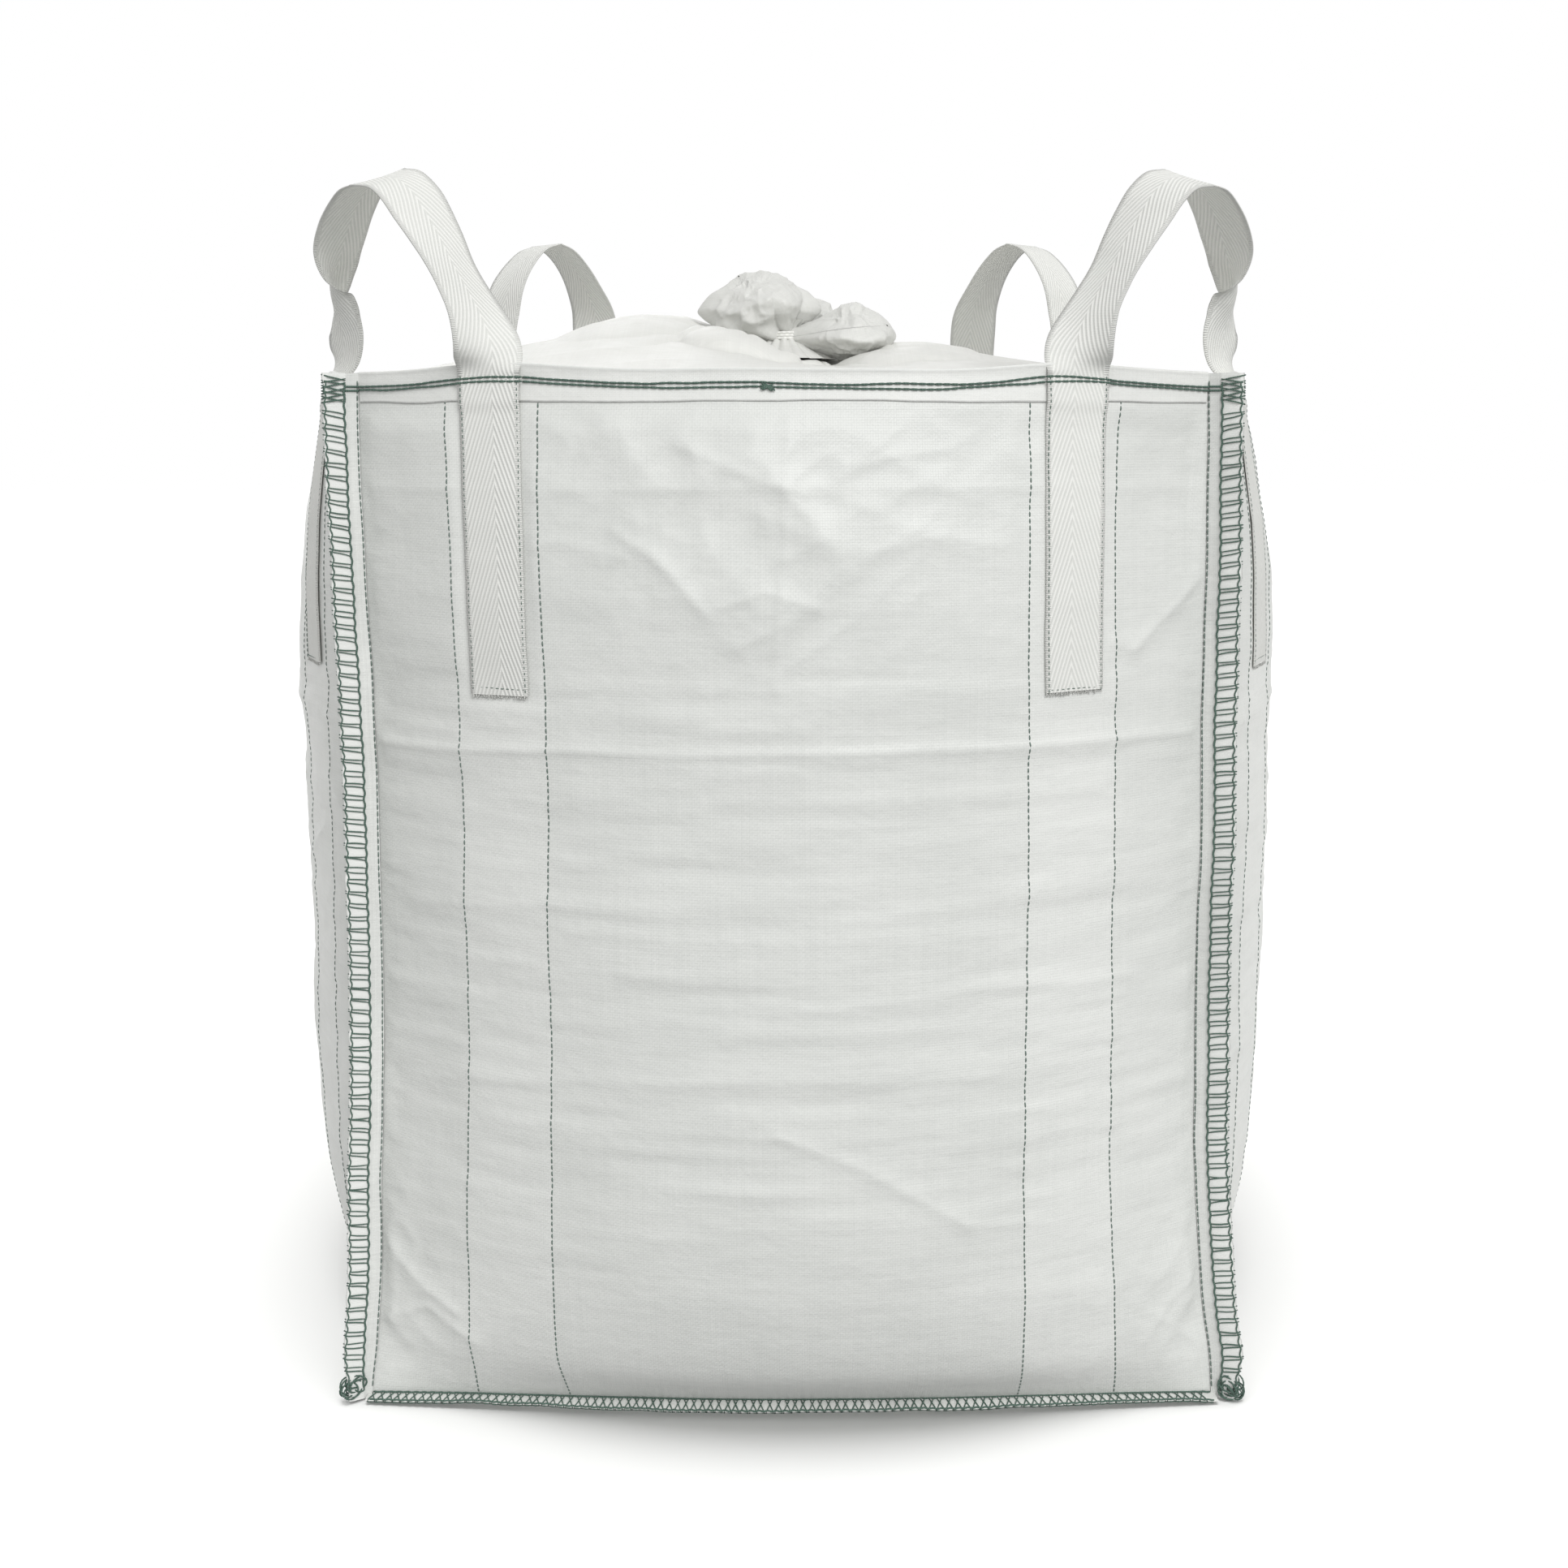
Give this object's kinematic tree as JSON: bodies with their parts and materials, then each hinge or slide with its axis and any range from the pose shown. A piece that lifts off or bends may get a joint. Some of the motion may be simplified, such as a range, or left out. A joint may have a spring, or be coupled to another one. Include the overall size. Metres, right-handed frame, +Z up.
{
  "type": "bulk bag",
  "caption": "Square woven bulk bag with bulging sewn sides, a closed top with a tied filling spout, and webbing lifting loops at its corners.",
  "frame": {"origin": "centre of the base on the floor", "axes": "+Z up; -Y out of the front panel; +X to the right seen from the front"},
  "size_m": [1.1602, 1.1602, 1.2541],
  "materials": {
    "panel_cloth": "coated woven polypropylene, slightly glossy",
    "top_cloth": "light woven polypropylene, soft sheen",
    "hem_cloth": "woven polypropylene strip, satin",
    "webbing": "herringbone woven webbing, matt",
    "seam_thread": "overlocked cloth edge with dark green thread, matt",
    "tie_cord": "white tie tape, matt"
  },
  "bodies": {
    "bag": {"base_panel": "panel_cloth", "panel_front": "panel_cloth", "panel_right": "panel_cloth", "panel_back": "panel_cloth", "panel_left": "panel_cloth", "top_panel": "top_cloth", "spout_neck": "top_cloth", "spout_tie": "tie_cord", "hem_front": "hem_cloth", "hem_right": "hem_cloth", "hem_back": "hem_cloth", "hem_left": "hem_cloth", "corner_seam_fl": "seam_thread", "corner_seam_fr": "seam_thread", "corner_seam_br": "seam_thread", "corner_seam_bl": "seam_thread", "base_seam_front": "seam_thread", "base_seam_right": "seam_thread", "base_seam_back": "seam_thread", "base_seam_left": "seam_thread", "leg_front_fl": "webbing", "leg_front_fr": "webbing", "leg_right_fr": "webbing", "leg_right_br": "webbing", "leg_back_br": "webbing", "leg_back_bl": "webbing", "leg_left_bl": "webbing", "leg_left_fl": "webbing"},
    "loop_fl": {"loop_fl": "webbing"},
    "loop_fr": {"loop_fr": "webbing"},
    "loop_br": {"loop_br": "webbing"},
    "loop_bl": {"loop_bl": "webbing"},
    "spout_top": {"spout_bunch": "top_cloth"}
  },
  "joints": [
    {"name": "loop_fl_fold", "type": "hinge", "parent": "bag", "child": "loop_fl", "pos_m": [-0.38614, -0.38614, 1.0725], "axis": [0.7071, -0.7071, 0], "range_deg": [-70, 100]},
    {"name": "loop_fr_fold", "type": "hinge", "parent": "bag", "child": "loop_fr", "pos_m": [0.38614, -0.38614, 1.0725], "axis": [0.7071, 0.7071, 0], "range_deg": [-70, 100]},
    {"name": "loop_br_fold", "type": "hinge", "parent": "bag", "child": "loop_br", "pos_m": [0.38614, 0.38614, 1.0725], "axis": [-0.7071, 0.7071, 0], "range_deg": [-50, 100]},
    {"name": "loop_bl_fold", "type": "hinge", "parent": "bag", "child": "loop_bl", "pos_m": [-0.38614, 0.38614, 1.0725], "axis": [-0.7071, -0.7071, 0], "range_deg": [-45, 100]},
    {"name": "spout_tip", "type": "hinge", "parent": "bag", "child": "spout_top", "pos_m": [0, 0, 1.1325], "axis": [1, 0, 0], "range_deg": [-25, 25]}
  ]
}
